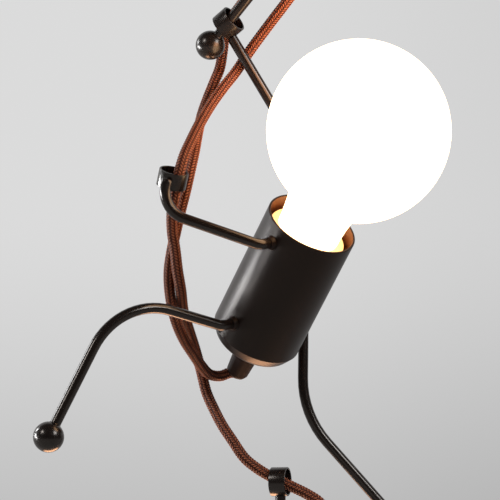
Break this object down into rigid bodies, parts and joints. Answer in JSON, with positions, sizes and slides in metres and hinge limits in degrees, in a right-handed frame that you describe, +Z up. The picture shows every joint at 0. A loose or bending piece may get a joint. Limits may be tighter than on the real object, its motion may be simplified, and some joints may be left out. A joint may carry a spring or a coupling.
{
  "type": "pendant lamp",
  "caption": "Pendant lamp shaped as a climbing figure: a tilted metal cup with a glowing globe bulb, bent rod arms and legs, rings on braided cords, hung from a round ceiling canopy.",
  "frame": {"origin": "on the ceiling, at the middle of the back face of the ceiling plate", "axes": "+Z up out of the plate into the ceiling, +X to the right and -Y towards someone looking at the lamp from the front"},
  "size_m": [0.2145, 0.1422, 0.441],
  "materials": {
    "dark_paint": "satin, slightly warm black-brown",
    "plated_steel": "zinc plated",
    "black_plastic": "matt",
    "white_plastic": "smooth",
    "brass": "bare",
    "grommet_rubber": "matt",
    "holder_white": "smooth ivory",
    "porcelain": "unglazed",
    "opal_glass": "opal white, lit",
    "cap_metal": "bare",
    "cap_glass": "glossy black",
    "rust_cord": "braided textile"
  },
  "bodies": {
    "lamp": {"ceiling_plate": "plated_steel", "hanger_socket": "plated_steel", "socket_screw": "plated_steel", "cord_anchors": "black_plastic", "terminal_block": "white_plastic", "terminal_screws": "brass", "hanger_rod": "dark_paint", "hanger_ball": "dark_paint", "body_cup": "dark_paint", "limb_collars": "dark_paint", "lampholder_skirt": "holder_white", "lampholder_cap": "holder_white", "lampholder_core": "porcelain", "screw_shell": "brass", "centre_contact": "brass", "threaded_nipple": "plated_steel", "nipple_nut": "plated_steel", "cord_grip": "black_plastic", "grip_screw": "plated_steel", "left_arm": "dark_paint", "left_hand_ring": "dark_paint", "right_arm": "dark_paint", "right_hand_ring": "dark_paint", "feed_cord": "rust_cord", "link_cord": "rust_cord", "connector_gland": "black_plastic", "connector_body": "black_plastic", "link_contact": "brass"},
    "left_leg": {"left_leg": "dark_paint", "left_foot": "dark_paint"},
    "right_leg": {"right_leg": "dark_paint", "right_foot": "dark_paint"},
    "bulb": {"bulb_globe": "opal_glass", "bulb_neck": "opal_glass", "bulb_cap": "cap_metal", "bulb_insulator": "cap_glass", "bulb_tip": "cap_metal"},
    "cover": {"canopy_cover": "dark_paint", "cover_grommets": "grommet_rubber", "cover_collar": "dark_paint", "collar_screw": "plated_steel"},
    "drop": {"lower_ring": "dark_paint", "drop_rod": "dark_paint", "drop_ball": "dark_paint"}
  },
  "joints": [
    {"name": "left_leg_swing", "type": "hinge", "parent": "lamp", "child": "left_leg", "pos_m": [-0.04298, 0.01541, -0.28915], "axis": [-0.6929, -0.7101, -0.1252], "range_deg": [-40, 30]},
    {"name": "right_leg_swing", "type": "hinge", "parent": "lamp", "child": "right_leg", "pos_m": [-0.01126, 0.05224, -0.28058], "axis": [0.5885, 0.7777, 0.221], "range_deg": [-35, 35]},
    {"name": "bulb_out", "type": "slide", "parent": "lamp", "child": "bulb", "axis": [0.3804, -0.5075, 0.7731], "range_m": [0, 0.035]},
    {"name": "cover_down", "type": "slide", "parent": "lamp", "child": "cover", "axis": [0, 0, 1], "range_m": [-0.018, 0]},
    {"name": "drop_swing", "type": "hinge", "parent": "lamp", "child": "drop", "pos_m": [-0.0178, 0.03, -0.3753], "axis": [0.959, -0.2812, 0.0351], "range_deg": [-50, 50]}
  ]
}
